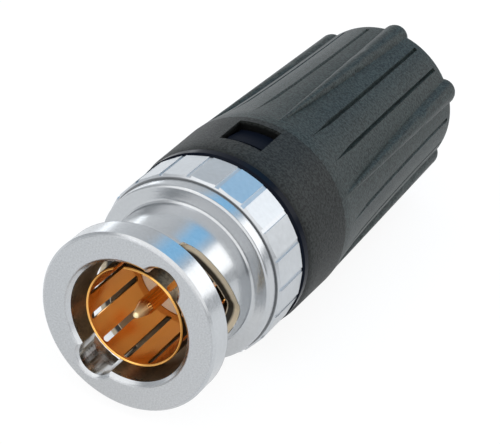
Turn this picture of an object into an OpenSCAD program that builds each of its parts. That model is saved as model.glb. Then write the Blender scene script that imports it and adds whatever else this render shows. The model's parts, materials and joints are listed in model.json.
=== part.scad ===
// BNC cable plug (75 ohm, male pin) whose bayonet nut is turned by a long ribbed boot.
// The axis lies along Y: the mating face is the plane y = 0 and the cable leaves at +Y.
// The origin is the centre of the mating face. +Z is up. All sizes are in millimetres.

/* [Mating end] */
// Radius of the nut's bore, which slides over the jack's barrel
nut_bore_r = 4.91; // [4.89:0.005:4.95]
// Outer radius of the spring sleeve that enters the jack's barrel
sleeve_r = 4.08; // [4.03:0.01:4.09]
// Sheet thickness of the spring sleeve
sleeve_wall = 0.2; // [0.16:0.01:0.3]
// How far the spring sleeve's rim lies behind the mating face
sleeve_recess = 1.05; // [0.8:0.05:1.5]
// Number of places round the sleeve: one open seam, and closed slots at the others
sleeve_slots = 12; // [8:1:14]
// Width of a closed slot in the spring sleeve
slot_w = 0.46; // [0.3:0.02:0.6]
// Radius of the centre pin
pin_r = 0.675; // [0.66:0.005:0.685]
// How far the pin's tip lies behind the mating face
pin_recess = 1.3; // [0.8:0.1:1.8]
// Distance from the mating face to the front of the pale insulator
insulator_recess = 8.2; // [7.5:0.1:9]

/* [Coupling nut] */
// Radius of the front flange
flange_r = 7.27; // [7.1:0.01:7.4]
// Distance from the mating face to the back edge of the flange
flange_len = 2.05; // [1.8:0.05:2.4]
// Radius of the waist between flange and shoulder
waist_r = 6.0; // [5.9:0.02:6.1]
// Distance from the mating face to the shoulder behind the waist
shoulder_s = 8.35; // [8.2:0.05:8.6]
// How far the smooth collar stands above the grip ring's seat
collar_wall = 0.47; // [0.35:0.02:0.6]
// Width of the track that a jack's bayonet stud runs in
track_w = 2.4; // [2.2:0.05:2.6]
// How far past the waist the track is cut, which opens it
track_reach = 0.2; // [0.12:0.02:0.3]
// Clock angle of one bayonet entry, seen from the mating end
entry_clock = 28; // [0:1:90]

/* [Grip ring] */
// Number of flats round the grip ring
grip_flats = 20; // [16:1:24]
// Thickness of the ring at the middle of a flat
grip_wall = 0.75; // [0.6:0.02:0.85]
// Distance from the mating face to the front of the grip ring
grip_s = 9.5; // [9.4:0.05:9.7]
// Length of the grip ring
grip_len = 3.9; // [3.7:0.05:3.95]
// Width of the groove between two flats
grip_groove_w = 0.36; // [0.2:0.02:0.5]

/* [Boot] */
// Thickness of the boot's wall round the latch sleeve
boot_wall = 0.55; // [0.5:0.01:0.7]
// How much the boot swells from its front edge to the joint between shell and grip
boot_swell = 0.11; // [0.04:0.01:0.25]
// Radius of the boot between the ribs at the cable end
boot_rear_r = 7.05; // [6.8:0.05:7.2]
// Distance from the mating face to the cable end of the boot
boot_end = 46; // [45:0.5:48]
// Number of large ribs
rib_count = 6; // [4:1:6]
// Height of a rib above the boot at the cable end
rib_height = 0.67; // [0.5:0.01:0.75]
// Section radius of a rib at the cable end
rib_end_r = 1.2; // [1:0.05:1.4]
// Width of the narrow grooves between the ribs
vee_w = 0.4; // [0.2:0.02:0.6]
// Clock angle of one rib
rib_clock = 3; // [0:1:60]
// Length of a latch window
window_len = 3.5; // [3:0.1:3.8]
// Width of a latch window
window_w = 3.65; // [3:0.05:4]
// Clock angle of one latch window
window_clock = 357; // [270:1:450]
// Radius of the cable mouth
cable_r = 3.5; // [3.1:0.05:3.6]

/* [Hidden] */
$fn = 96;

// Clearances
press_gap = 0.02;      // pressed pieces of one body
run_gap = 0.05;        // turning and sliding pieces
seat_gap = 0.03;       // faces that rest on each other
joint_gap = 0.01;      // between the two halves of the boot
cut = 0.1;             // how far a cutter reaches past a surface

// Radii that step outwards from the body's bearing tube
body_r = 4.9;
rear_bore_r = body_r + 0.9;
groove_r = rear_bore_r + 0.45;
skirt_r = groove_r + 0.45;       // under the latch sleeve
seat_r = skirt_r + 0.25;         // under the grip ring
collar_r = seat_r + collar_wall;
grip_flat_r = seat_r + grip_wall;
latch_in_r = skirt_r + press_gap;
latch_r = latch_in_r + 0.63;
shell_socket_r = latch_r + run_gap;
boot_front_r = shell_socket_r + boot_wall;
boot_max_r = boot_front_r + boot_swell;
lip_r = boot_front_r - 0.13;
track_r = waist_r + track_reach;
reach = 2 * boot_max_r;          // beyond the outside of every piece

// Coupling nut
face_chamfer = 0.25;
bore_chamfer = 0.35;
waist_fillet = 2.5;
corner_round = 0.35;
collar_round = 0.25;
grip_end = grip_s + grip_len;
skirt_end = 18.2;
groove_s = 13.7;
groove_len = 0.65;

// Grip ring
grip_bevel = 0.16;
grip_bevel_len = 0.3;

// Bayonet track: the stud's path, as clock angle past the entry and distance from the face,
// and the round pocket where the locked stud rests
entry_r = 1.5;
entry_centre_r = 4.65;
entry_len = 4.3;
track_in_r = 4.2;
ramp_deg = 58;
ramp_steps = 10;
ramp_s = 3.4;
ramp_rise = 1.82;
ramp = [for (i = [0:ramp_steps]) let (a = 2 + (ramp_deg - 1) * i / ramp_steps)
        [a, ramp_s + ramp_rise * pow(a / ramp_deg, 1.5)]];
track = concat([[-12, 2.9], [-5, 3.2]], ramp);
rest_clock = 59.5;
rest_s = 5.18;
pocket_r = 1.27;

// Connector body
body_flange_s = 11;
body_flange_len = 1.2;
nut_bore_len = body_flange_s - seat_gap;
body_flange_r = rear_bore_r - run_gap;
body_end = 20;
body_flat = body_r - 0.45;
body_core_r = body_r - 1.3;
sleeve_end = 13;
sleeve_seat_end = sleeve_end + run_gap;
o_groove_s = 16.1;
o_groove_len = 1.6;
o_groove_r = body_r - 0.5;

// Spring sleeve
seam_clock = -25;
seam_w = 0.9;
slot_front = sleeve_recess + 0.5;
slot_back = 7.8;
rim_chamfer = 0.08;
sleeve_in_r = sleeve_r - sleeve_wall;
slot_in_r = sleeve_in_r - 0.7;

// Centre pin
nose_len = 1.6;
nose_r = 0.3;
pin_shoulder_r = 1.2;
pin_shoulder_s = sleeve_seat_end;
pin_shoulder_len = 1.15;
pin_seat_r = 0.86;
pin_tail_r = 0.95;
pin_end = 20.5;
cup_r = 0.6;
cup_len = 4;
cup_hole_r = 0.3;
cup_hole_s = 17.6;

// Insulators and lock ring
rear_ins_s = pin_shoulder_s + pin_shoulder_len + seat_gap;
rear_ins_end = 17.2;
lock_end = 18;
rear_ins_hole_r = 0.65;
lock_in_r = body_core_r - 1.4;

// Crimp stem and ferrule
stem_flange_end = 21.4;
stem_step_r = 3.28;
stem_step_end = 22.6;
stem_r = 2.6;
stem_bore_r = 2.0;
stem_end = 31;
stem_grooves = 6;
ferrule_in_r = stem_step_r + press_gap;
ferrule_r = 3.75;
ferrule_end = 31.5;

// Rings inside the nut
ring_r = groove_r - run_gap;
ring_in_r = body_r + 0.3;
ring_gap_deg = 40;
ring_gap_clock = 200;
washer_r = rear_bore_r - run_gap - seat_gap;
washer_in_r = body_r + run_gap;
washer_len = 0.4;
washer_s = groove_s - washer_len - seat_gap;
wave_front = body_flange_s + body_flange_len + seat_gap;
wave_back = washer_s - seat_gap;
wave_in_r = washer_in_r + 0.1;
wave_out_r = washer_r - 0.04;
wave_thick = 0.25;
wave_count = 3;
wave_steps = 60;
gasket_len = 0.95;
o_ring_r = (rear_bore_r - o_groove_r) / 2 - 2 * seat_gap;

// Latch sleeve and boot
lip_s = grip_end + seat_gap;
lip_len = 0.85;
lip_chamfer = 0.25;
latch_end = 19.7;
tab_h = 0.25;
tab_w = window_w - 0.5;
tab_s = 17.2;
tab_end = 19.3;
slit_w = 0.5;
slit_s = 15.6;
window_s = 16.4;
windows = 2;
shell_s = lip_s + lip_len + seat_gap;
shell_chamfer_len = 0.6;
shell_chamfer = 0.2;
shell_socket_end = latch_end + 0.15;
shell_r = boot_rear_r - 0.55;
shell_in_r = shell_r - 0.55;
bush_end = 30;
shell_rear_in_r = shell_in_r - 0.6;
shell_end = boot_end - 1.6;
shell_wall_s = shell_end - 1.8;
grommet_seat_r = cable_r + 1.1;
grip_start = 20.6;
bush_len = 3.2;
bush_r = shell_in_r - press_gap;
bush_in_r = ferrule_r + run_gap;
bush_hole_r = 0.55;
grommet_flange_r = shell_rear_in_r - 0.2;
grommet_flange_len = 1.2;
grommet_end = boot_end - 0.5;
end_round = 0.6;

// Boot outline between the ribs: [distance from the face, share of the swell left above the cable end]
grip_fall = [[grip_start, 1], [21.6, 0.95], [23.2, 0.76], [26, 0.525], [30, 0.347], [35, 0.198],
             [boot_end - 5, 0.08], [boot_end - end_round, 0.03]];
grip_outline = [for (p = grip_fall) [p[0], boot_rear_r + (boot_max_r - boot_rear_r) * p[1]]];
rib_crest_r = boot_rear_r + rib_height;

// Bottom of the narrow grooves: [distance from the face, depth under the outline]
vee_depth = [[22.3, 0.007], [26, 0.3], [35, 0.3], [boot_end - 1.2, 0.27]];
vee_line = [for (p = vee_depth) [p[0], lookup(p[0], grip_outline) - p[1]]];
vee_reach = 1.2;

// Points of a circular arc, used inside turned outlines
function arc(c, r, a0, a1, n = 6) =
    [for (i = [0:n]) let (a = a0 + (a1 - a0) * i / n) [c.x + r * cos(a), c.y + r * sin(a)]];

// Lays a part that was turned round Z along the plug's own axis, Y
module lay() {
    rotate([-90, 0, 0]) children();
}

// Turns a feature on the +X side to a clock angle, seen from the mating end
module at_clock(a) {
    rotate([0, 0, a - 90]) children();
}

// Plain turned tube between two distances from the mating face
module tube(s0, s1, r_out, r_in) {
    translate([0, 0, s0]) difference() {
        cylinder(r = r_out, h = s1 - s0);
        translate([0, 0, -cut]) cylinder(r = r_in, h = s1 - s0 + 2 * cut);
    }
}

// Stretch of the bayonet track with radial walls, swept along stations of clock angle and distance
module track_part(stations, depth_r) {
    n = len(stations);
    rings = [for (p = stations) let (a = entry_clock + p[0] - 90, d = [cos(a), sin(a)])
             each [[track_in_r * d.x, track_in_r * d.y, p[1] - track_w / 2],
                   [depth_r * d.x, depth_r * d.y, p[1] - track_w / 2],
                   [depth_r * d.x, depth_r * d.y, p[1] + track_w / 2],
                   [track_in_r * d.x, track_in_r * d.y, p[1] + track_w / 2]]];
    walls = [for (i = [0:n - 2], k = [0:3]) let (a = 4 * i, b = a + 4, m = (k + 1) % 4)
             each [[b + m, b + k, a + k], [a + m, b + m, a + k]]];
    last = 4 * n - 4;
    polyhedron(points = rings, faces = concat([[3, 2, 1, 0]], walls, [[last, last + 1, last + 2, last + 3]]));
}

// Both ramps of the bayonet track, each with a round pocket where the stud rests
module tracks() {
    for (side = [0, 180]) rotate([0, 0, side]) {
        track_part(track, track_r);
        at_clock(entry_clock + rest_clock) translate([track_in_r, 0, rest_s]) rotate([0, 90, 0])
            cylinder(r = pocket_r, h = track_r + 0.1 - track_in_r, $fn = 48);
    }
}

// Straight entries for the studs, chamfered at the mating face
module entries() {
    for (side = [0, 180]) rotate([0, 0, side]) at_clock(entry_clock) translate([entry_centre_r, 0, 0]) {
        translate([0, 0, -cut]) cylinder(r = entry_r, h = entry_len + cut, $fn = 40);
        translate([0, 0, -0.02]) cylinder(r1 = entry_r + face_chamfer + 0.02, r2 = entry_r - 0.02,
                                          h = face_chamfer + 0.04, $fn = 40);
    }
}

// Bayonet nut: flange, waist with the cam slots, collar, ring seat and skirt
module coupling_nut() {
    color("gainsboro") lay() difference() {
        rotate_extrude() polygon(concat(
            [[nut_bore_r + bore_chamfer, 0], [flange_r - face_chamfer, 0], [flange_r, face_chamfer]],
            [[flange_r, flange_len]],
            arc([waist_r + waist_fillet, flange_len + waist_fillet * 0.87], waist_fillet, 240.7, 180, 10),
            arc([waist_r + corner_round, shoulder_s - corner_round], corner_round, 180, 90, 3),
            arc([collar_r - collar_round, shoulder_s + collar_round], collar_round, -90, 0, 4),
            [[collar_r, grip_s - seat_gap], [seat_r, grip_s - seat_gap], [seat_r, grip_end]],
            [[skirt_r, grip_end], [skirt_r, skirt_end - 0.3], [skirt_r - 0.3, skirt_end]],
            [[rear_bore_r, skirt_end], [rear_bore_r, groove_s + groove_len], [groove_r, groove_s + groove_len]],
            [[groove_r, groove_s], [rear_bore_r, groove_s], [rear_bore_r, nut_bore_len]],
            [[nut_bore_r, nut_bore_len], [nut_bore_r, bore_chamfer]]));
        entries();
        tracks();
    }
}

// Ring of flats with a narrow groove at each corner, pressed on the nut
module grip_ring() {
    corner_r = grip_flat_r / cos(180 / grip_flats);
    half_flat = 180 / grip_flats;
    color("silver") lay() difference() {
        intersection() {
            translate([0, 0, grip_s]) at_clock(half_flat) linear_extrude(grip_len)
                polygon([for (i = [0:grip_flats - 1]) let (a = 360 * i / grip_flats)
                         corner_r * [cos(a), sin(a)]]);
            translate([0, 0, grip_s]) union() {
                cylinder(r1 = grip_flat_r - grip_bevel, r2 = corner_r, h = grip_bevel_len);
                translate([0, 0, grip_bevel_len]) cylinder(r = corner_r, h = grip_len - 1.5 * grip_bevel_len);
                translate([0, 0, grip_len - grip_bevel_len / 2])
                    cylinder(r1 = corner_r, r2 = grip_flat_r - 0.05, h = grip_bevel_len / 2);
            }
        }
        translate([0, 0, grip_s - cut]) cylinder(r = seat_r + press_gap, h = grip_len + 2 * cut);
        for (i = [0:grip_flats - 1])
            at_clock(half_flat + 360 * i / grip_flats) translate([corner_r - 0.16, -grip_groove_w / 2, grip_s - cut])
                cube([1, grip_groove_w, grip_len + 2 * cut]);
    }
}

// Split ring that carries the nut's pull to the thrust washer
module retaining_ring() {
    color("darkgray") lay() difference() {
        tube(groove_s + seat_gap, groove_s + groove_len - seat_gap, ring_r, ring_in_r);
        at_clock(ring_gap_clock) linear_extrude(groove_s + 2 * groove_len)
            polygon([[0, 0], reach * [cos(ring_gap_deg / 2), -sin(ring_gap_deg / 2)],
                     reach * [cos(ring_gap_deg / 2), sin(ring_gap_deg / 2)]]);
    }
}

// Flat washer between the wave spring and the retaining ring
module thrust_washer() {
    color("lightgray") lay() tube(washer_s, washer_s + washer_len, washer_r, washer_in_r);
}

// Wave spring, a ring of flat wire with three waves
module wave_washer() {
    mid = (wave_front + wave_back) / 2;
    amp = (wave_back - wave_front - wave_thick) / 2;
    pts = [for (i = [0:wave_steps - 1]) let (a = 360 * i / wave_steps, w = mid + amp * cos(wave_count * a))
           each [[wave_in_r * cos(a), wave_in_r * sin(a), w - wave_thick / 2],
                 [wave_out_r * cos(a), wave_out_r * sin(a), w - wave_thick / 2],
                 [wave_out_r * cos(a), wave_out_r * sin(a), w + wave_thick / 2],
                 [wave_in_r * cos(a), wave_in_r * sin(a), w + wave_thick / 2]]];
    faces = [for (i = [0:wave_steps - 1], k = [0:3])
             let (a = 4 * i, b = 4 * ((i + 1) % wave_steps), m = (k + 1) % 4) each
             [[a + k, b + k, b + m], [a + k, b + m, a + m]]];
    color("darkgray") lay() polyhedron(points = pts, faces = [for (f = faces) [f[2], f[1], f[0]]]);
}

// Soft ring that the end of the jack's barrel seals on
module face_gasket() {
    color("saddlebrown") lay()
        tube(body_flange_s - seat_gap - gasket_len, body_flange_s - seat_gap,
             nut_bore_r - run_gap - seat_gap, sleeve_r + run_gap);
}

// O-ring that seals the body against the turning nut
module body_o_ring() {
    color("black") lay() translate([0, 0, o_groove_s + o_groove_len / 2])
        rotate_extrude() translate([o_groove_r + seat_gap + o_ring_r, 0]) circle(r = o_ring_r, $fn = 32);
}

// Turned body: flange, bearing tube, O-ring groove and wrench flats
module connector_body() {
    color("silver") lay() difference() {
        rotate_extrude() polygon([
            [sleeve_r + press_gap, body_flange_s], [body_flange_r, body_flange_s],
            [body_flange_r, body_flange_s + body_flange_len], [body_r, body_flange_s + body_flange_len],
            [body_r, o_groove_s], [o_groove_r, o_groove_s],
            [o_groove_r, o_groove_s + o_groove_len], [body_r, o_groove_s + o_groove_len],
            [body_r, body_end], [body_core_r, body_end],
            [body_core_r, sleeve_seat_end], [sleeve_r + press_gap, sleeve_seat_end]]);
        for (side = [0, 180]) rotate([0, 0, side])
            translate([body_flat, -body_r, skirt_end + 0.4]) cube([body_r, 2 * body_r, body_end]);
    }
}

// Spring sleeve rolled from sheet: an open seam and a ring of closed slots leave springy ribs
module outer_contact() {
    color("goldenrod") lay() difference() {
        rotate_extrude() polygon([
            [sleeve_in_r + rim_chamfer, sleeve_recess], [sleeve_r - rim_chamfer, sleeve_recess],
            [sleeve_r, sleeve_recess + rim_chamfer], [sleeve_r, sleeve_end],
            [sleeve_in_r, sleeve_end], [sleeve_in_r, sleeve_recess + rim_chamfer]]);
        at_clock(seam_clock) translate([slot_in_r, -seam_w / 2, 0]) cube([2, seam_w, slot_back]);
        at_clock(seam_clock) translate([slot_in_r, -0.05, 0]) cube([2, 0.1, sleeve_end + 1]);
        for (i = [1:sleeve_slots - 1])
            at_clock(seam_clock + 360 * i / sleeve_slots) {
                translate([slot_in_r, -slot_w / 2, slot_front]) cube([2, slot_w, slot_back - slot_front]);
                for (s = [slot_front, slot_back]) translate([slot_in_r, 0, s]) rotate([0, 90, 0])
                    cylinder(d = slot_w, h = 2, $fn = 20);
            }
    }
}

// Male contact: tapered nose, free length, shoulder between the insulators, solder cup
module centre_pin() {
    nose_end = pin_recess + nose_len;
    free_end = insulator_recess - 0.1;
    color("gold") lay() difference() {
        rotate_extrude($fn = 64) polygon(concat(
            [[0, pin_end], [0, pin_recess]],
            arc([0, pin_recess + nose_r], nose_r, -90, -15, 4),
            [[pin_r - 0.04, nose_end - 0.15], [pin_r, nose_end], [pin_r, free_end]],
            [[pin_seat_r, free_end], [pin_seat_r, pin_shoulder_s], [pin_shoulder_r, pin_shoulder_s]],
            [[pin_shoulder_r, pin_shoulder_s + pin_shoulder_len]],
            [[pin_tail_r, pin_shoulder_s + pin_shoulder_len], [pin_tail_r, pin_end]]));
        translate([0, 0, pin_end - cup_len]) cylinder(r = cup_r, h = cup_len + cut, $fn = 32);
        translate([0, 0, cup_hole_s]) rotate([-90, 0, 0]) cylinder(r = cup_hole_r, h = 2, $fn = 20);
    }
}

// Pale insulator behind the free length of the pin
module front_insulator() {
    color("antiquewhite") lay() difference() {
        rotate_extrude() polygon([
            [pin_seat_r + press_gap, insulator_recess], [sleeve_in_r - 0.35, insulator_recess],
            [sleeve_in_r - seat_gap, insulator_recess + 0.32],
            [sleeve_in_r - seat_gap, sleeve_end], [pin_seat_r + press_gap, sleeve_end]]);
    }
}

// Insulator behind the pin's shoulder
module rear_insulator() {
    color("white") lay() difference() {
        tube(rear_ins_s, rear_ins_end, body_core_r - seat_gap, pin_tail_r + press_gap);
        for (a = [0:60:300]) rotate([0, 0, a])
            translate([(body_core_r + pin_tail_r) / 2, 0, rear_ins_s + 0.8])
                cylinder(r = rear_ins_hole_r, h = rear_ins_end, $fn = 24);
    }
}

// Pressed ring that keeps the rear insulator
module lock_ring() {
    color("darkgray") lay() tube(rear_ins_end + seat_gap, lock_end, body_core_r - press_gap, lock_in_r);
}

// Rear stem: spigot in the body, flange, ferrule seat and ridged tube for the braid
module crimp_stem() {
    pitch = (stem_end - stem_step_end - 1) / stem_grooves;
    color("silver") lay() difference() {
        rotate_extrude() polygon([
            [stem_bore_r, lock_end + seat_gap], [body_core_r - press_gap, lock_end + seat_gap],
            [body_core_r - press_gap, body_end + seat_gap], [body_r, body_end + seat_gap],
            [body_r, stem_flange_end], [stem_step_r, stem_flange_end],
            [stem_step_r, stem_step_end], [stem_r, stem_step_end],
            [stem_r, stem_end - 0.3], [stem_r - 0.3, stem_end], [stem_bore_r, stem_end]]);
        for (i = [1:stem_grooves]) translate([0, 0, stem_step_end + i * pitch])
            tube(0, 0.4, stem_r + 1, stem_r - 0.12);
    }
}

// Crimp sleeve for the cable's braid
module crimp_ferrule() {
    color("gainsboro") lay() difference() {
        rotate_extrude() polygon([
            [ferrule_in_r, stem_flange_end + seat_gap], [ferrule_r, stem_flange_end + seat_gap],
            [ferrule_r, ferrule_end - 0.2], [ferrule_r - 0.2, ferrule_end],
            [ferrule_in_r, ferrule_end]]);
    }
}

// Sleeve on the nut's skirt: glossy front lip, and two latch tabs between slits
module latch_sleeve() {
    color([0.05, 0.05, 0.07]) lay() difference() {
        union() {
            rotate_extrude() polygon([
                [latch_in_r, lip_s], [lip_r - lip_chamfer, lip_s], [lip_r, lip_s + lip_chamfer],
                [lip_r, lip_s + lip_len], [latch_r, lip_s + lip_len], [latch_r, latch_end],
                [latch_in_r, latch_end]]);
            for (i = [0:windows - 1]) at_clock(window_clock + 360 * i / windows)
                intersection() {
                    translate([latch_in_r, -tab_w / 2, tab_s]) cube([reach, tab_w, tab_end - tab_s]);
                    rotate_extrude() polygon([
                        [latch_in_r, tab_s], [latch_r + tab_h, tab_s],
                        [latch_r + tab_h, tab_s + 0.5], [latch_r, tab_end], [latch_in_r, tab_end]]);
                }
        }
        for (i = [0:windows - 1], side = [-1, 1]) at_clock(window_clock + 360 * i / windows)
            translate([latch_in_r - 1, side * (tab_w / 2 + slit_w / 2) - slit_w / 2, slit_s])
                cube([reach, slit_w, latch_end]);
    }
}

// Hard half of the boot: smooth collar with the latch windows, and the core of the grip
module boot_shell() {
    color([0.2, 0.21, 0.22]) lay() difference() {
        rotate_extrude() polygon([
            [shell_socket_r, shell_s], [boot_front_r - shell_chamfer, shell_s],
            [boot_front_r, shell_s + shell_chamfer_len], [boot_max_r, grip_start - joint_gap],
            [shell_r, grip_start - joint_gap], [shell_r, shell_end], [grommet_seat_r, shell_end],
            [grommet_seat_r, shell_wall_s], [shell_rear_in_r, shell_wall_s],
            [shell_rear_in_r, bush_end], [shell_in_r, bush_end],
            [shell_in_r, shell_socket_end], [shell_socket_r, shell_socket_end]]);
        for (i = [0:windows - 1]) at_clock(window_clock + 360 * i / windows)
            translate([shell_socket_r - 0.5, -window_w / 2, window_s]) cube([reach, window_w, window_len]);
    }
}

// One stretch of a narrow groove whose bottom runs straight from one station to the next
module vee(p, q) {
    slope = atan2(q[1] - p[1], q[0] - p[0]);
    half = vee_w / 2 * vee_reach / 0.3;
    translate([p[1], 0, p[0]]) rotate([0, slope, 0])
        linear_extrude(norm(q - p) + 0.02) polygon([[0, 0], [vee_reach, -half], [vee_reach, half]]);
}

// Ribbed half of the boot: six ribs that grow towards the cable, two grooves between them
module boot_grip() {
    rib_s = grip_start + 0.9;
    rib_stop = boot_end - rib_end_r + 0.7;
    rib_start_r = 0.12;
    crest_drop = boot_max_r - rib_crest_r;
    run = rib_stop - rib_s;
    drop = crest_drop + rib_end_r - rib_start_r;
    color([0.22, 0.24, 0.24]) lay() difference() {
        union() {
            rotate_extrude() polygon(concat(
                [for (p = grip_outline) [p[1], p[0]]],
                arc([boot_rear_r + 0.03 - end_round, boot_end - end_round], end_round, 0, 90, 5),
                [[grommet_seat_r, boot_end], [grommet_seat_r, grip_start]]));
            for (i = [0:rib_count - 1]) at_clock(rib_clock + 360 * i / rib_count) {
                translate([boot_max_r - rib_start_r - 0.03, 0, rib_s]) rotate([0, -atan2(drop, run), 0])
                    cylinder(r1 = rib_start_r, r2 = rib_end_r, h = norm([run, drop]), $fn = 40);
                translate([rib_crest_r - rib_end_r - 0.03, 0, rib_stop]) sphere(r = rib_end_r, $fn = 40);
            }
        }
        translate([0, 0, grip_start - cut])
            cylinder(r = shell_r + press_gap, h = shell_end + seat_gap - grip_start + cut);
        translate([0, 0, grip_start]) cylinder(r = grommet_seat_r, h = boot_end);
        for (i = [0:3 * rib_count - 1]) if (i % 3 != 0)
            at_clock(rib_clock + 120 * i / rib_count)
                for (k = [0:len(vee_line) - 2]) vee(vee_line[k], vee_line[k + 1]);
    }
}

// Bearing bush between the turning boot and the still ferrule
module rear_bushing() {
    color("ivory") lay() difference() {
        tube(bush_end - seat_gap - bush_len, bush_end - seat_gap, bush_r, bush_in_r);
        for (a = [0:60:300]) rotate([0, 0, a])
            translate([(bush_r + bush_in_r) / 2 + 0.15, 0, bush_end - bush_len - 1])
                cylinder(r = bush_hole_r, h = bush_len + 2, $fn = 24);
    }
}

// Soft lining of the cable mouth, held by a flange inside the shell
module cable_grommet() {
    flange_s = shell_wall_s - seat_gap - grommet_flange_len;
    color([0.08, 0.08, 0.08]) lay() difference() {
        rotate_extrude() polygon([
            [cable_r, flange_s], [grommet_flange_r, flange_s],
            [grommet_flange_r, flange_s + grommet_flange_len],
            [grommet_seat_r - seat_gap, flange_s + grommet_flange_len],
            [grommet_seat_r - seat_gap, grommet_end], [cable_r, grommet_end]]);
    }
}

coupling_nut();
grip_ring();
retaining_ring();
thrust_washer();
wave_washer();
face_gasket();
body_o_ring();
connector_body();
outer_contact();
centre_pin();
front_insulator();
rear_insulator();
lock_ring();
crimp_stem();
crimp_ferrule();
latch_sleeve();
boot_shell();
boot_grip();
rear_bushing();
cable_grommet();
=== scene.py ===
"""Coaxial bayonet plug: finishes, smooth-shaded pieces, soft studio stage and camera.

Lengths are in metres. The plug's axis lies along Y, with the mating face at y = 0.
"""

import json
import math

import bmesh
import bpy
from bpy.props import FloatProperty, FloatVectorProperty, PointerProperty
from mathutils import Matrix, Vector

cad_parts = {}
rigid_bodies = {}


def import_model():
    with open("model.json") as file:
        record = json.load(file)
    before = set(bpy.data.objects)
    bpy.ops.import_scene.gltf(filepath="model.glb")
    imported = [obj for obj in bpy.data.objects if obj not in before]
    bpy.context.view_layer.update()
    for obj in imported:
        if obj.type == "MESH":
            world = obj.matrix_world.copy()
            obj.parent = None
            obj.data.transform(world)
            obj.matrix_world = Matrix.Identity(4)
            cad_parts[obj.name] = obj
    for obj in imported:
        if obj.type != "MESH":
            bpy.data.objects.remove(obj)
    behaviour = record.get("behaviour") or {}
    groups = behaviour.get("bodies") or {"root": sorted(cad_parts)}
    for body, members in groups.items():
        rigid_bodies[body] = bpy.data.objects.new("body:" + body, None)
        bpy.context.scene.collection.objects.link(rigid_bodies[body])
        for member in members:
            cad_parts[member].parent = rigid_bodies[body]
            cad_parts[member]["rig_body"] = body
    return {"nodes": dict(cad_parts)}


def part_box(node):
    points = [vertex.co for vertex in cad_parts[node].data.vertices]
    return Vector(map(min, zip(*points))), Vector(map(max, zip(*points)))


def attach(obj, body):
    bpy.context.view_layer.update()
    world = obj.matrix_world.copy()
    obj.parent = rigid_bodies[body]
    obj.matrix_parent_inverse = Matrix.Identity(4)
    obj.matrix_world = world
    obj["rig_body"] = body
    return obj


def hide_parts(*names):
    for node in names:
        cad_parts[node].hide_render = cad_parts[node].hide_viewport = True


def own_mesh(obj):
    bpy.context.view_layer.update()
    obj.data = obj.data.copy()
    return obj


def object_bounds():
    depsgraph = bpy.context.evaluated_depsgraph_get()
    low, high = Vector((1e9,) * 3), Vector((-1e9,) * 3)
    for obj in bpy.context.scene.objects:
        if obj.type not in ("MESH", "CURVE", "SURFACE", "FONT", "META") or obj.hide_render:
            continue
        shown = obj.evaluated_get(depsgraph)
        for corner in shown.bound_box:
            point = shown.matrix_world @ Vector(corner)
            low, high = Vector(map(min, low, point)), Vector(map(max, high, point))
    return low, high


bl_info = {
    "name": "Coaxial Bayonet Plug",
    "version": (1, 0, 0),
    "blender": (4, 5, 0),
    "location": "View3D > Sidebar > Plug",
    "description": "Dresses a coaxial bayonet cable plug and sets a soft studio stage",
    "category": "Object",
}

MM = 0.001

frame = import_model()
CAD_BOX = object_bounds()


def front(node):
    """Where a CAD node begins along the axis."""
    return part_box(node)[0].y


def reach(node):
    """How far a CAD node reaches out from the axis."""
    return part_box(node)[1].x


# Colours of the stage.
WHITE = (1.0, 1.0, 1.0, 1.0)
PALE = (0.94, 0.97, 1.0, 1.0)
SKY_BLUE = (0.30, 0.65, 1.0, 1.0)
FLOOR_GREY = (0.8, 0.8, 0.8, 1.0)

# Noise: its waves per metre, its detail and its roughness. A mark's waves are set by the point.
WEAR = (260.0, 4.0, 0.55)
FINE = (2600.0, 2.0, 0.5)
SPECK = (4200.0, 2.0, 0.6)
BLAST = (7500.0, 2.0, 0.6)
GOLD_WEAR = (320.0, 4.0, 0.55)
MOULD_CLOUD = (140.0, 3.0, 0.5)
GLOSS_CLOUD = (220.0, 3.0, 0.5)
MARKS = (1.0, 2.0, 0.6)

# Waves of the marks: in one pitch of the lathe, per metre, and per radian round the axis.
WAVES_IN_PITCH = 0.35
GOLD_WAVES = 5500.0
RUB_WAVES = 3500.0
MILLED_WAVES = 260.0
TURNED_ROUND = 0.35
RUB_ROUND = 0.6
MILLED_ROUND = 55.0

# Depths of the relief.
PLATING_DEPTH = 0.004 * MM
GOLD_DEPTH = 0.003 * MM
GLOSS_DEPTH = 0.004 * MM

# Radii that the finishes follow. The jack's barrel goes into the ring round the spring sleeve,
# so the nut's bore is worked out from the sleeve.
SLEEVE_R = reach("outer_contact")
NUT_BORE_R = SLEEVE_R + 0.83 * MM
NUT_WAIST_R = reach("coupling_nut") - 1.42 * MM
SLEEVE_OUTER_R = SLEEVE_R - 0.11 * MM
BORE_R = NUT_BORE_R + 0.09 * MM
SLOT_INNER_R = NUT_BORE_R + 0.06 * MM
SLOT_SHADE_R = NUT_WAIST_R - 0.4 * MM
SLOT_OUTER_R = NUT_WAIST_R - 0.025 * MM
ENTRY_R = NUT_WAIST_R + 0.5 * MM
PIN_R = reach("centre_pin") - 0.2 * MM
# Under this radius the boot shell gets painted shade, in the walls of its latch window.
WINDOW_SHADE_R = reach("boot_shell") - 0.16 * MM

# Places along the axis that the finishes follow.
NUT_FACE = front("coupling_nut")
FACE_END = NUT_FACE + 0.12 * MM
BORE_START = NUT_FACE + 0.4 * MM
ENTRY_START = NUT_FACE + 0.5 * MM
ENTRY_END = NUT_FACE + 2.9 * MM
SLOT_START = NUT_FACE + 2.6 * MM
SLOT_END = NUT_FACE + 8.0 * MM
DEEP_START = NUT_FACE + 3.0 * MM
GRIP_FRONT = front("grip_ring")
GRIP_EDGE = GRIP_FRONT + 0.04 * MM
JOINT_START = GRIP_FRONT - 0.07 * MM
JOINT_END = GRIP_FRONT + 0.1 * MM
SLEEVE_RIM = front("outer_contact") + 0.1 * MM
PIN_TIP = front("centre_pin") + 1.4 * MM
LIP_END = front("boot_shell") + 0.09 * MM

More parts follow.
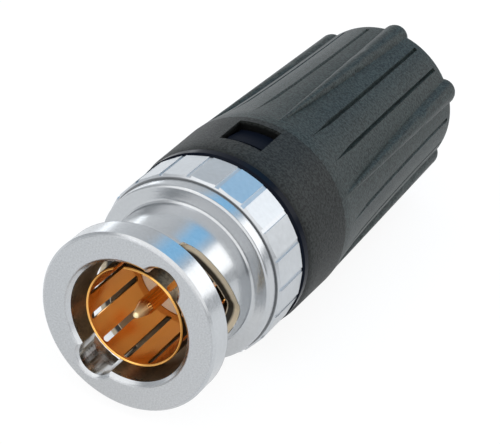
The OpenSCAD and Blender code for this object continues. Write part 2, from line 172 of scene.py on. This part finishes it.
# How a copy is cleaned and shaded: points closer than the first are merged, and edges shorter
# than the second are dissolved.
MERGE_DISTANCE = 0.0008 * MM
SLIVER_LENGTH = 0.0005 * MM
SHARP_ANGLE = 28.0
LARGE_FACE_WEIGHT = 60

# The floor, and the strip of it that shades the plug's underside. The shares say how much of the
# floor's white shows straight to the camera, less under the plug, and in metal and glass.
FLOOR_HALF_WIDTH = 1.5
FLOOR_GAP = 0.05 * MM
SHADE_X = (CAD_BOX[0].x - 0.94 * MM, 1.0 * MM)
SHADE_Y = (CAD_BOX[0].y + 6.0 * MM, CAD_BOX[1].y - 2.7 * MM)
SHADE_SOFT = 3.0 * MM
DIRECT_SHARE = 0.8
SHADE_SHARE = 0.5
MIRROR_SHARE = 0.55
FLOOR_GLOW = 1.1

# The surroundings: the blue box's level, and the softness of a box's ends along the axis.
BLUE_LEVEL = 1.15
BOX_END_SOFT = 0.15

# The lamp and the camera. The camera is rolled with the plug, which rests on a flat.
LAMP_PLACE = Vector((-120.0, -60.0, 260.0)) * MM
LAMP_TARGET = Vector((0.0, 22.0, 0.0)) * MM
LAMP_SIZE = 120.0 * MM
CAMERA_PLACE = Vector((59.271, -95.511, 66.632)) * MM
CAMERA_TURN = math.radians(27.235)
CAMERA_DIP = math.radians(27.482)
CAMERA_ROLL = math.radians(-9.0)
SENSOR_WIDTH = 36.0
FOCAL_LENGTH = 129.6
CLIP_START, CLIP_END = 0.01, 10.0


# ---------------------------------------------------------------- settings

class PlugSizes(bpy.types.PropertyGroup):
    """Sizes of the fine detail."""

    turning_pitch: FloatProperty(
        name="Turning pitch", description="Distance between the lathe's fine tool marks",
        default=0.06 * MM, min=0.01 * MM, max=0.5 * MM, precision=6, subtype="DISTANCE",
        unit="LENGTH")
    grain_size: FloatProperty(
        name="Boot grain", description="Size of the boot's moulded grain",
        default=0.20 * MM, min=0.02 * MM, max=1.0 * MM, precision=6, subtype="DISTANCE",
        unit="LENGTH")
    wave_keep: FloatProperty(
        name="Flattened spring",
        description="Share of its height that the wave spring keeps at full slide",
        default=0.4, min=0.1, max=1.0, subtype="FACTOR")


class PlugColours(bpy.types.PropertyGroup):
    """Colours of the finishes."""

    nickel: FloatVectorProperty(
        name="Nickel", description="Satin nickel plating", subtype="COLOR", size=3,
        default=(0.57, 0.585, 0.60), min=0.0, max=1.0)
    grip: FloatVectorProperty(
        name="Grip ring", description="Satin nickel of the milled flats", subtype="COLOR", size=3,
        default=(0.60, 0.62, 0.64), min=0.0, max=1.0)
    bore: FloatVectorProperty(
        name="Nut bore", description="Dull plating inside the nut", subtype="COLOR", size=3,
        default=(0.52, 0.42, 0.31), min=0.0, max=1.0)
    gold: FloatVectorProperty(
        name="Gold", description="Gold plating of the contacts", subtype="COLOR", size=3,
        default=(0.94, 0.50, 0.14), min=0.0, max=1.0)
    # A painted highlight on the pin's tip.
    pin_tip_highlight: FloatVectorProperty(
        name="Pin tip", description="Pale gold of the pin's tip", subtype="COLOR", size=3,
        default=(1.0, 0.86, 0.52), min=0.0, max=1.0)
    # A darker colour for the outside of the spring sleeve.
    gold_outside: FloatVectorProperty(
        name="Sleeve outside", description="Dull gold outside the spring sleeve",
        subtype="COLOR", size=3, default=(0.24, 0.18, 0.12), min=0.0, max=1.0)
    slot_wall: FloatVectorProperty(
        name="Cam slots", description="Pale oxide on the walls of the cam slots",
        subtype="COLOR", size=3, default=(0.78, 0.67, 0.50), min=0.0, max=1.0)
    steel: FloatVectorProperty(
        name="Spring steel", description="Plain spring steel", subtype="COLOR", size=3,
        default=(0.45, 0.46, 0.47), min=0.0, max=1.0)
    boot: FloatVectorProperty(
        name="Boot", description="Moulded boot", subtype="COLOR", size=3,
        default=(0.025, 0.034, 0.033), min=0.0, max=1.0)
    collar: FloatVectorProperty(
        name="Boot collar", description="Hard front half of the boot", subtype="COLOR", size=3,
        default=(0.018, 0.020, 0.019), min=0.0, max=1.0)
    sleeve: FloatVectorProperty(
        name="Latch sleeve", description="Glossy dark latch sleeve", subtype="COLOR", size=3,
        default=(0.003, 0.005, 0.011), min=0.0, max=1.0)
    insulator: FloatVectorProperty(
        name="Insulator", description="Milky fluoropolymer", subtype="COLOR", size=3,
        default=(0.99, 0.90, 0.78), min=0.0, max=1.0)
    seal: FloatVectorProperty(
        name="Seal", description="Silicone seals", subtype="COLOR", size=3,
        default=(0.16, 0.06, 0.035), min=0.0, max=1.0)
    bush: FloatVectorProperty(
        name="Bush", description="Acetal bush", subtype="COLOR", size=3,
        default=(0.78, 0.76, 0.70), min=0.0, max=1.0)
    mouth: FloatVectorProperty(
        name="Cable mouth", description="Soft lining of the cable mouth", subtype="COLOR", size=3,
        default=(0.022, 0.022, 0.024), min=0.0, max=1.0)


class PlugStage(bpy.types.PropertyGroup):
    """Light and floor."""

    world_level: FloatProperty(
        name="Surroundings", description="Brightness of the pale surroundings",
        default=0.62, min=0.0, max=2.0)
    strip_level: FloatProperty(
        name="Strip box", description="Brightness of the long soft box at the right",
        default=2.3, min=0.0, max=10.0)
    front_level: FloatProperty(
        name="Front box", description="Brightness of the large soft box in front",
        default=1.6, min=0.0, max=10.0)
    key_power: FloatProperty(
        name="Key light", description="Power of the soft lamp above",
        default=0.03, min=0.0, max=10.0)


# ---------------------------------------------------------------- finishes

class Value:
    """A number in a finish. Sums on it add Math nodes."""

    def __init__(self, finish, socket):
        self.finish = finish
        self.socket = socket

    def _math(self, operation, *terms):
        node = self.finish.add("ShaderNodeMath", {"operation": operation}, dict(enumerate(terms)))
        return Value(self.finish, node.outputs[0])

    def __add__(self, other):
        return self._math("ADD", self, other)

    def __radd__(self, other):
        return self._math("ADD", other, self)

    def __sub__(self, other):
        return self._math("SUBTRACT", self, other)

    def __rsub__(self, other):
        return self._math("SUBTRACT", other, self)

    def __mul__(self, other):
        return self._math("MULTIPLY", self, other)

    def __truediv__(self, other):
        return self._math("DIVIDE", self, other)

    def clamp(self):
        """Kept between 0 and 1."""
        return self._math("MINIMUM", self._math("MAXIMUM", self, 0.0), 1.0)

    def past(self, start, soft):
        """0 up to a start, then rising to 1 over a soft edge."""
        return ((self - start) / soft).clamp()

    def before(self, end, soft):
        """1, then falling over a soft edge to 0 at an end."""
        return ((end - self) / soft).clamp()

    def within(self, start, end, soft):
        """1 between a start and an end, with a soft edge inside each."""
        return self.past(start, soft) * self.before(end, soft)

    def around(self, width):
        """Moved from 0 to 1 to both sides of 0, and stretched to a width in all."""
        return (self - 0.5) * width

    def root(self):
        """Square root."""
        return self._math("SQRT", self)

    def turn(self, other):
        """Angle of the point (other, self) in radians."""
        return self._math("ARCTAN2", self, other)


class Tree:
    """A node tree, built node by node."""

    def __init__(self, owner):
        owner.use_nodes = True
        self.nodes = owner.node_tree.nodes
        self.links = owner.node_tree.links
        self.nodes.clear()

    def add(self, kind, settings=None, sockets=None):
        """Adds a node: its settings first, then the values or links of its sockets."""
        node = self.nodes.new(kind)
        for key, setting in (settings or {}).items():
            setattr(node, key, setting)
        for key, given in (sockets or {}).items():
            target = node.inputs[key]
            if isinstance(given, Value):
                self.links.new(given.socket, target)
            elif isinstance(given, bpy.types.NodeSocket):
                self.links.new(given, target)
            else:
                target.default_value = given
        return node

    def mix(self, factor, first, second):
        """Blends two colours. The colours go into sockets 6 and 7 and come out of 2."""
        node = self.add("ShaderNodeMix", {"data_type": "RGBA"},
                        {"Factor": factor, 6: first, 7: second})
        return node.outputs[2]

    def levels(self, factor, colour, low, high):
        """A colour that goes from one level of itself to another."""
        return self.mix(factor, rgba(colour, low), rgba(colour, high))

    def split(self, vector):
        """The three numbers in a vector."""
        parts = self.add("ShaderNodeSeparateXYZ", {}, {"Vector": vector})
        return [Value(self, output) for output in parts.outputs]

    def rays(self, *kinds):
        """1 for the rays of each kind, and 0 for others."""
        path = self.add("ShaderNodeLightPath")
        return [Value(self, path.outputs[kind]) for kind in kinds]


class Finish(Tree):
    """One material. It knows the point on the piece, as a vector and as x, y and z."""

    def __init__(self, name, **constants):
        self.material = bpy.data.materials.new(name)
        super().__init__(self.material)
        self.shader = self.add("ShaderNodeBsdfPrincipled", {}, constants)
        self.output = self.add("ShaderNodeOutputMaterial", {}, {"Surface": self.shader.outputs[0]})
        self.point = self.add("ShaderNodeTexCoord").outputs["Object"]
        self.x, self.y, self.z = self.split(self.point)

    def radius(self):
        """Distance from the plug's axis."""
        return (self.x * self.x + self.z * self.z).root()

    def noise(self, point, scale, detail, roughness):
        """Fractal noise from 0 to 1."""
        node = self.add("ShaderNodeTexNoise", {"noise_dimensions": "3D"},
                        {"Vector": point, "Scale": scale, "Detail": detail, "Roughness": roughness})
        return Value(self, node.outputs["Fac"])

    def stretched(self, along, outwards, turning):
        """A point for noise that follows the axis: its waves per metre along the axis and
        outwards from it, and its waves per radian round it."""
        node = self.add("ShaderNodeCombineXYZ", {},
                        {"X": self.y * along, "Y": self.radius() * outwards,
                         "Z": self.z.turn(self.x) * turning})
        return node.outputs[0]

    def marks(self, waves, turning=TURNED_ROUND):
        """Fine marks from 0 to 1. They run round the axis where few waves go round it."""
        return self.noise(self.stretched(waves, waves, turning), *MARKS)

    def bump(self, height, distance):
        """Relief on the shader's normal."""
        node = self.add("ShaderNodeBump", {}, {"Height": height, "Distance": distance})
        self.feed("Normal", node.outputs["Normal"])

    def feed(self, socket, given):
        """Links a value or colour to the shader."""
        source = given.socket if isinstance(given, Value) else given
        self.links.new(source, self.shader.inputs[socket])


def rgba(colour, level=1.0):
    """A colour with its alpha, scaled by a level."""
    return (*(c * level for c in colour), 1.0)


def turned_metal(name, colour, rough, mark, pitch):
    """Plated metal with fine ring-shaped tool marks and faint wear."""
    f = Finish(name, Metallic=1.0)
    worn_metal(f, colour, rough, mark, f.marks(WAVES_IN_PITCH / pitch))
    return f.material


def milled_metal(name, colour, rough, mark, edge):
    """Plated metal with marks along the axis, faint wear and a line of painted shade up to its
    front edge.
    """
    f = Finish(name, Metallic=1.0)
    # Painted shade along the front edge, in the joint with the nut.
    line = f.y.before(edge, 0.04 * MM)
    worn_metal(f, colour, rough, mark, f.marks(MILLED_WAVES, MILLED_ROUND), line)
    return f.material


def worn_metal(f, colour, rough, mark, marks, line=None):
    """Colours a metal finish, with wear and its tool marks. Along a line it gets painted shade."""
    wear = f.noise(f.point, *WEAR)
    fine = f.noise(f.point, *FINE)
    base = f.levels((wear * 0.8 + fine * 0.8 - 0.3).clamp(), colour, 0.86, 1.08)
    if line is not None:
        base = f.mix(line, base, rgba(colour, 0.4))
    f.feed("Base Color", base)
    f.feed("Roughness", (rough + wear.around(0.10) + marks.around(0.10)
                         + fine.around(0.05)).clamp())
    f.bump(marks + fine * 0.3, mark * PLATING_DEPTH)


def nut_plating(name, colour, bore_colour, wall_colour, rough, pitch):
    """The nut's satin plating: finer on the turned outside, blasted on the face, darker and rougher
    in the bore and pale on the walls of the cam slots. It has painted shade on the slots' inner
    half and in the joint in front of the grip ring, and painted reflection streaks in the lower
    entry."""
    f = Finish(name, Metallic=1.0)
    y, radius = f.y, f.radius()
    rings = f.marks(WAVES_IN_PITCH / pitch)
    wear = f.noise(f.point, *WEAR)
    speck = f.noise(f.point, *SPECK)
    blast = f.noise(f.point, *BLAST)

    # Where each part of the nut is.
    face = y.before(FACE_END, 0.06 * MM)
    entry = (radius.before(ENTRY_R, 0.3 * MM) * y.past(ENTRY_START, 0.6 * MM)
             * y.before(ENTRY_END, 0.4 * MM))
    bore = (1.0 - radius.past(BORE_R, 0.9 * MM)) * y.past(BORE_START, 0.4 * MM)
    bore = (bore + entry * 0.7).clamp()
    deep = y.past(DEEP_START, 1.5 * MM)
    # Painted reflections: light and dark streaks in the lower entry.
    painted_entry_streaks = f.z.before(-1.0 * MM, 2.0 * MM) * entry * radius.past(BORE_R, 0.2 * MM)
    slot_wall = (radius.past(SLOT_INNER_R, 0.05 * MM) * radius.before(SLOT_OUTER_R, 0.03 * MM)
                 * y.within(SLOT_START, SLOT_END, 0.4 * MM))
    # Painted shade on the inner half of the cam slots' walls.
    slot_shade = slot_wall * radius.before(SLOT_SHADE_R, 0.2 * MM)
    # Painted shade in the joint in front of the grip ring.
    joint_shade = y.within(JOINT_START, JOINT_END, 0.06 * MM)

    # The plated outside and the blasted face.
    base = f.levels((wear * 0.7 + speck * 0.8 - 0.25).clamp(), colour, 0.86, 1.08)
    base = f.mix(face, base, f.levels(((blast - 0.3) * 2.5).clamp(), colour, 0.84, 1.06))

    # The darker, rougher bore, and painted reflection streaks, light and dark, in the lower entry.
    reflection_streak = f.noise(f.stretched(along=120.0, outwards=900.0, turning=9.0), *MARKS)
    reflection_streak = ((reflection_streak - 0.45) * 6.0 + 0.6).clamp()
    dull = f.levels(((speck - 0.4) * 2.0 + 0.4).clamp(), bore_colour, 0.75, 1.15)
    dull = f.mix(deep, dull, rgba(wall_colour, 0.9))
    dull = f.mix(painted_entry_streaks, dull, f.mix(reflection_streak, rgba(bore_colour, 0.4), rgba(colour, 1.6)))
    base = f.mix(bore, base, dull)

    # The cam slots' walls, with painted shade on their inner half, and painted shade in the joint
    # in front of the grip ring.
    base = f.mix(slot_wall, base, rgba(wall_colour))
    base = f.mix(slot_shade, base, rgba(bore_colour, 0.05))
    f.feed("Base Color", f.mix(joint_shade * 0.35, base, rgba(colour, 0.15)))
    f.feed("Metallic", (1.0 - slot_wall * 0.85 - painted_entry_streaks * reflection_streak * 0.7
                        - deep * bore * 0.8).clamp())
    f.feed("Roughness", (rough + wear.around(0.10) + rings.around(0.12) + speck.around(0.10)
                         + face * 0.22 + bore * 0.12 + slot_wall * 0.2).clamp())
    f.bump(rings + speck * 0.6 + face * (blast * 4.0), PLATING_DEPTH)
    return f.material


def gold_plate(name, colour, highlight_colour, outside_colour, rough):
    """Gold plating: polished inside, with a painted highlight at the pin's tip, darker and rougher
    on the spring sleeve's outside.
    """
    f = Finish(name, Metallic=1.0)
    y, radius = f.y, f.radius()
    # Outside the spring sleeve it is darker, rougher and speckled.
    outside = radius.past(SLEEVE_OUTER_R, 0.05 * MM) * y.past(SLEEVE_RIM, 0.1 * MM)
    # A painted highlight on the pin's tip: paler and less metallic.
    tip = y.before(PIN_TIP, 0.9 * MM) * radius.before(PIN_R, 0.1 * MM)
    rings = f.marks(GOLD_WAVES)
    wear = f.noise(f.point, *GOLD_WEAR)
    speck = f.noise(f.point, *SPECK)
    base = f.levels((wear * 1.4 - 0.2).clamp(), colour, 0.88, 1.05)
    dull = f.levels(((speck - 0.3) * 2.5).clamp(), outside_colour, 0.5, 1.3)
    f.feed("Base Color", f.mix(tip, f.mix(outside, base, dull), rgba(highlight_colour)))
    f.feed("Metallic", 1.0 - tip * 0.3)
    f.feed("Roughness", (rough + wear.around(0.08) + rings.around(0.10)
                         + outside * 0.2 + tip * 0.15).clamp())
    f.bump(rings + outside * speck, GOLD_DEPTH)
    return f.material


def moulded(name, colour, rough, grain, depth, speck, gloss=0.5, shade_radius=0.0):
    """Moulded plastic or elastomer with an eroded grain. Under a given radius it gets painted
    shade, as in the walls of the boot's latch window.
    """
    f = Finish(name, **{"Metallic": 0.0, "Specular IOR Level": gloss})
    coarse = f.noise(f.point, 1.0 / grain, 2.0, 0.6)
    fine = f.noise(f.point, 2.2 / grain, 2.0, 0.55)
    cloud = f.noise(f.point, *MOULD_CLOUD)
    tone = (coarse.around(speck * 4.0) + cloud.around(0.5) + 0.5).clamp()
    base = f.levels(tone, colour, 0.35, 1.65)
    # Painted shade under the given radius.
    if shade_radius:
        base = f.mix(f.radius().before(shade_radius, 0.2 * MM), base, rgba(colour, 0.15))
    f.feed("Base Color", base)
    f.feed("Roughness", (rough + fine.around(0.16) + cloud.around(0.12)).clamp())
    f.bump(coarse + fine * 0.6, depth)
    return f.material


def glossy(name, colour, rough, ior, lip):
    """Smooth glossy plastic with a slight moulding wave and rub marks, plainer behind its lip."""
    f = Finish(name, Metallic=0.0, IOR=ior)
    cloud = f.noise(f.point, *GLOSS_CLOUD)
    rub = f.marks(RUB_WAVES, RUB_ROUND)
    behind = f.y.past(lip, 0.1 * MM)
    f.feed("Base Color", f.levels(cloud, colour, 0.85, 1.15))
    f.feed("Roughness", (rough + rub.around(0.10) + cloud.around(0.06) + behind * 0.4).clamp())
    f.bump(cloud + rub * 0.1, GLOSS_DEPTH)
    return f.material


# ---------------------------------------------------------------- pieces

def dressed(node, material, sharp_angle=SHARP_ANGLE):
    """A merged, smooth-shaded copy of a CAD node that stands for it and rides on its body."""
    source = frame["nodes"][node]
    mesh = bpy.data.meshes.new("look_" + node)
    bm = bmesh.new()
    bm.from_mesh(source.data)
    bmesh.ops.remove_doubles(bm, verts=bm.verts, dist=MERGE_DISTANCE)
    bmesh.ops.dissolve_degenerate(bm, edges=bm.edges, dist=SLIVER_LENGTH)
    limit = math.radians(sharp_angle)
    for face in bm.faces:
        face.smooth = True
    for edge in bm.edges:
        edge.smooth = edge.is_manifold and edge.calc_face_angle(math.pi) < limit
    bm.to_mesh(mesh)
    bm.free()
    piece = bpy.data.objects.new("look_" + node, mesh)
    bpy.context.scene.collection.objects.link(piece)
    weight = piece.modifiers.new("even_shading", "WEIGHTED_NORMAL")
    weight.mode = "FACE_AREA"
    weight.weight = LARGE_FACE_WEIGHT
    weight.keep_sharp = True
    piece.data.materials.append(material)
    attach(piece, source["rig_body"])
    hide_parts(node)
    return piece


def settings(context):
    """The scene's sizes, colours and stage settings."""
    scene = context.scene
    return scene.plug_sizes, scene.plug_colours, scene.plug_stage


def aimed(place, direction):
    """The placing of a lamp or camera that looks in a direction."""
    return Matrix.Translation(place) @ direction.to_track_quat("-Z", "Y").to_matrix().to_4x4()


class PLUG_OT_metalwork(bpy.types.Operator):
    """Dresses the nickel-plated pieces: nut, grip ring, body, lock ring, stem and ferrule"""

    bl_idname = "plug.metalwork"
    bl_label = "Nickel pieces"

    def execute(self, context):
        sizes, colours, _ = settings(context)
        nickel = turned_metal("satin_nickel", colours.nickel, rough=0.20, mark=1.0,
                              pitch=sizes.turning_pitch)
        milled = milled_metal("milled_nickel", colours.grip, rough=0.34, mark=0.6, edge=GRIP_EDGE)
        plating = nut_plating("nut_plating", colours.nickel, colours.bore, colours.slot_wall,
                              rough=0.20, pitch=sizes.turning_pitch)
        for node in ("connector_body", "lock_ring", "crimp_stem", "crimp_ferrule"):
            dressed(node, nickel)
        dressed("coupling_nut", plating)
        dressed("grip_ring", milled, sharp_angle=12.0)
        return {"FINISHED"}


class PLUG_OT_springs(bpy.types.Operator):
    """Dresses the retaining ring, the thrust washer and the wave spring"""

    bl_idname = "plug.springs"
    bl_label = "Rings and washers"

    def execute(self, context):
        sizes, colours, _ = settings(context)
        steel = turned_metal("spring_steel", colours.steel, rough=0.3, mark=1.0,
                             pitch=sizes.turning_pitch)
        for node in ("retaining_ring", "thrust_washer"):
            dressed(node, steel)
        wave = dressed("wave_washer", steel)
        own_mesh(wave)
        return {"FINISHED"}


class PLUG_OT_contacts(bpy.types.Operator):
    """Dresses the gold spring sleeve and the centre pin"""

    bl_idname = "plug.contacts"
    bl_label = "Gold contacts"

    def execute(self, context):
        _, colours, _ = settings(context)
        gold = gold_plate("gold_plate", colours.gold, colours.pin_tip_highlight, colours.gold_outside,
                          rough=0.22)
        dressed("outer_contact", gold)
        dressed("centre_pin", gold, sharp_angle=50.0)
        return {"FINISHED"}


class PLUG_OT_insulators(bpy.types.Operator):
    """Dresses the two pale insulators and the bearing bush"""

    bl_idname = "plug.insulators"
    bl_label = "Insulators and bush"

    def execute(self, context):
        _, colours, _ = settings(context)
        pale = moulded("milky_insulator", colours.insulator, rough=0.42, grain=0.1 * MM,
                       depth=0.002 * MM, speck=0.1)
        plain = moulded("acetal_bush", colours.bush, rough=0.45, grain=0.1 * MM,
                        depth=0.002 * MM, speck=0.1)
        for node in ("front_insulator", "rear_insulator"):
            dressed(node, pale)
        dressed("rear_bushing", plain)
        return {"FINISHED"}


class PLUG_OT_seals(bpy.types.Operator):
    """Dresses the face gasket, the O-ring and the cable mouth's lining"""

    bl_idname = "plug.seals"
    bl_label = "Seals and lining"

    def execute(self, context):
        _, colours, _ = settings(context)
        seal = moulded("silicone_seal", colours.seal, rough=0.5, grain=0.1 * MM,
                       depth=0.003 * MM, speck=0.2)
        lining = moulded("soft_lining", colours.mouth, rough=0.6, grain=0.15 * MM,
                         depth=0.006 * MM, speck=0.3)
        for node in ("face_gasket", "body_o_ring"):
            dressed(node, seal)
        dressed("cable_grommet", lining)
        return {"FINISHED"}


class PLUG_OT_latch_sleeve(bpy.types.Operator):
    """Dresses the glossy sleeve with its latch tabs"""

    bl_idname = "plug.latch_sleeve"
    bl_label = "Latch sleeve"

    def execute(self, context):
        _, colours, _ = settings(context)
        sleeve = glossy("glossy_sleeve", colours.sleeve, rough=0.16, ior=1.14, lip=LIP_END)
        dressed("latch_sleeve", sleeve)
        return {"FINISHED"}


class PLUG_OT_boot(bpy.types.Operator):
    """Dresses the hard shell and the ribbed grip of the boot"""

    bl_idname = "plug.boot"
    bl_label = "Boot"

    def execute(self, context):
        sizes, colours, _ = settings(context)
        collar = moulded("boot_collar", colours.collar, rough=0.50, grain=sizes.grain_size,
                         depth=0.034 * MM, speck=1.0, gloss=0.2, shade_radius=WINDOW_SHADE_R)
        ribbed = moulded("boot_ribbed", colours.boot, rough=0.42, grain=sizes.grain_size,
                         depth=0.026 * MM, speck=0.9, gloss=0.18)
        dressed("boot_shell", collar)
        dressed("boot_grip", ribbed)
        return {"FINISHED"}


class PLUG_OT_stage(bpy.types.Operator):
    """Sets the pale floor, the soft lights, the white surroundings and the camera"""

    bl_idname = "plug.stage"
    bl_label = "Stage, lights and camera"

    def execute(self, context):
        _, _, stage = settings(context)
        scene = context.scene
        scene.view_settings.view_transform = "Standard"
        self.floor(scene)
        self.surroundings(scene, stage)
        self.key_light(scene, stage)
        self.camera(scene)
        return {"FINISHED"}

    def floor(self, scene):
        """A pale floor that shows white and keeps the object's shadow."""
        bm = bmesh.new()
        bmesh.ops.create_grid(bm, x_segments=1, y_segments=1, size=FLOOR_HALF_WIDTH)
        bmesh.ops.translate(bm, verts=bm.verts, vec=(0.0, 0.0, CAD_BOX[0][2] - FLOOR_GAP))
        mesh = bpy.data.meshes.new("pale_floor")
        bm.to_mesh(mesh)
        bm.free()
        floor = bpy.data.objects.new("pale_floor", mesh)
        scene.collection.objects.link(floor)
        f = Finish("floor_paint", **{"Base Color": FLOOR_GREY, "Roughness": 0.9})
        direct, mirror, through = f.rays("Is Camera Ray", "Is Glossy Ray", "Is Transmission Ray")
        indirect = (direct + mirror + through).clamp() - direct
        under = f.x.within(*SHADE_X, SHADE_SOFT) * f.y.within(*SHADE_Y, SHADE_SOFT)
        share = direct * (DIRECT_SHARE - under * SHADE_SHARE) + indirect * MIRROR_SHARE
        glow = f.add("ShaderNodeEmission", {}, {"Color": WHITE, "Strength": FLOOR_GLOW})
        blend = f.add("ShaderNodeMixShader", {},
                      {0: share, 1: f.shader.outputs[0], 2: glow.outputs[0]})
        f.links.new(blend.outputs[0], f.output.inputs["Surface"])
        mesh.materials.append(f.material)

    def surroundings(self, scene, stage):
        """Pale surroundings with soft boxes in them, shown to the camera as pure white."""
        scene.world = bpy.data.worlds.new("soft_surroundings")
        tree = Tree(scene.world)
        x, y, z = tree.split(tree.add("ShaderNodeTexCoord").outputs["Generated"])
        turn = z.turn(x) * (180 / math.pi)

        def strip(first, last, near, far, soft):
            """A soft box between two angles round the axis and two heights along it."""
            return turn.within(first, last, soft) * y.within(near, far, BOX_END_SOFT)

        white = strip(first=14.0, last=62.0, near=0.05, far=0.99, soft=8.0)
        blue = strip(first=55.0, last=114.0, near=0.05, far=0.99, soft=21.0)
        left = strip(first=166.0, last=188.0, near=0.25, far=0.97, soft=6.0)
        front = (x * 0.1 - y * 0.85 + z * 0.52).past(0.54, 0.16)
        colour = tree.mix(blue, PALE, SKY_BLUE)
        colour = tree.mix((white + front).clamp(), colour, WHITE)

        # The plain part is paler behind the plug and on its left.
        behind = y.past(-0.4, 0.8) * 0.4 + 0.6
        beside = 1.0 + x.before(0.0, 1.0) * 0.6
        level = (behind * beside * stage.world_level
                 + blue * (BLUE_LEVEL - stage.world_level)
                 + (white + left) * (stage.strip_level - 1.0)
                 + front * (stage.front_level - stage.world_level))
        direct = tree.rays("Is Camera Ray")[0]
        lit = tree.add("ShaderNodeBackground", {}, {"Color": colour, "Strength": level})
        plain = tree.add("ShaderNodeBackground", {}, {"Color": WHITE, "Strength": 1.0})
        blend = tree.add("ShaderNodeMixShader", {},
                         {0: direct, 1: lit.outputs[0], 2: plain.outputs[0]})
        tree.add("ShaderNodeOutputWorld", {}, {"Surface": blend.outputs[0]})

    def key_light(self, scene, stage):
        """A square soft lamp above, to the left."""
        data = bpy.data.lights.new("key_light", "AREA")
        data.shape = "SQUARE"
        data.size = LAMP_SIZE
        data.energy = stage.key_power
        lamp = bpy.data.objects.new("key_light", data)
        scene.collection.objects.link(lamp)
        lamp.matrix_world = aimed(LAMP_PLACE, LAMP_TARGET - LAMP_PLACE)

    def camera(self, scene):
        """The camera, in front of the mating end, to the right and above."""
        data = bpy.data.cameras.new("plug_camera")
        data.sensor_width = SENSOR_WIDTH
        data.lens = FOCAL_LENGTH
        data.clip_start = CLIP_START
        data.clip_end = CLIP_END
        camera = bpy.data.objects.new("plug_camera", data)
        scene.collection.objects.link(camera)
        level_part = math.cos(CAMERA_DIP)
        forward = Vector((-math.sin(CAMERA_TURN) * level_part, math.cos(CAMERA_TURN) * level_part,
                          -math.sin(CAMERA_DIP)))
        roll = Matrix.Rotation(CAMERA_ROLL, 4, "Y")
        camera.matrix_world = roll @ aimed(CAMERA_PLACE, forward)
        scene.camera = camera


class PLUG_PT_panel(bpy.types.Panel):
    """Lists the plug's pieces, sizes and colours"""

    bl_idname = "PLUG_PT_panel"
    bl_label = "Bayonet plug"
    bl_space_type = "VIEW_3D"
    bl_region_type = "UI"
    bl_category = "Plug"

    def draw(self, context):
        layout = self.layout
        for group in settings(context):
            column = layout.column()
            for name in group.__annotations__:
                column.prop(group, name)
        for operator in OPERATORS:
            layout.operator(operator.bl_idname)


OPERATORS = (
    PLUG_OT_metalwork,
    PLUG_OT_springs,
    PLUG_OT_contacts,
    PLUG_OT_insulators,
    PLUG_OT_seals,
    PLUG_OT_latch_sleeve,
    PLUG_OT_boot,
    PLUG_OT_stage,
)
CLASSES = (PlugSizes, PlugColours, PlugStage, *OPERATORS, PLUG_PT_panel)


def register():
    """Registers the classes and hangs the settings on the scene."""
    for cls in CLASSES:
        bpy.utils.register_class(cls)
    bpy.types.Scene.plug_sizes = PointerProperty(type=PlugSizes)
    bpy.types.Scene.plug_colours = PointerProperty(type=PlugColours)
    bpy.types.Scene.plug_stage = PointerProperty(type=PlugStage)


def unregister():
    """Removes the settings and the classes."""
    del bpy.types.Scene.plug_stage
    del bpy.types.Scene.plug_colours
    del bpy.types.Scene.plug_sizes
    for cls in reversed(CLASSES):
        bpy.utils.unregister_class(cls)


def main():
    """Builds the dressed plug and its stage."""
    register()
    bpy.ops.plug.metalwork()
    bpy.ops.plug.springs()
    bpy.ops.plug.contacts()
    bpy.ops.plug.insulators()
    bpy.ops.plug.seals()
    bpy.ops.plug.latch_sleeve()
    bpy.ops.plug.boot()
    bpy.ops.plug.stage()
    bpy.context.view_layer.update()


if __name__ == "__main__":
    main()
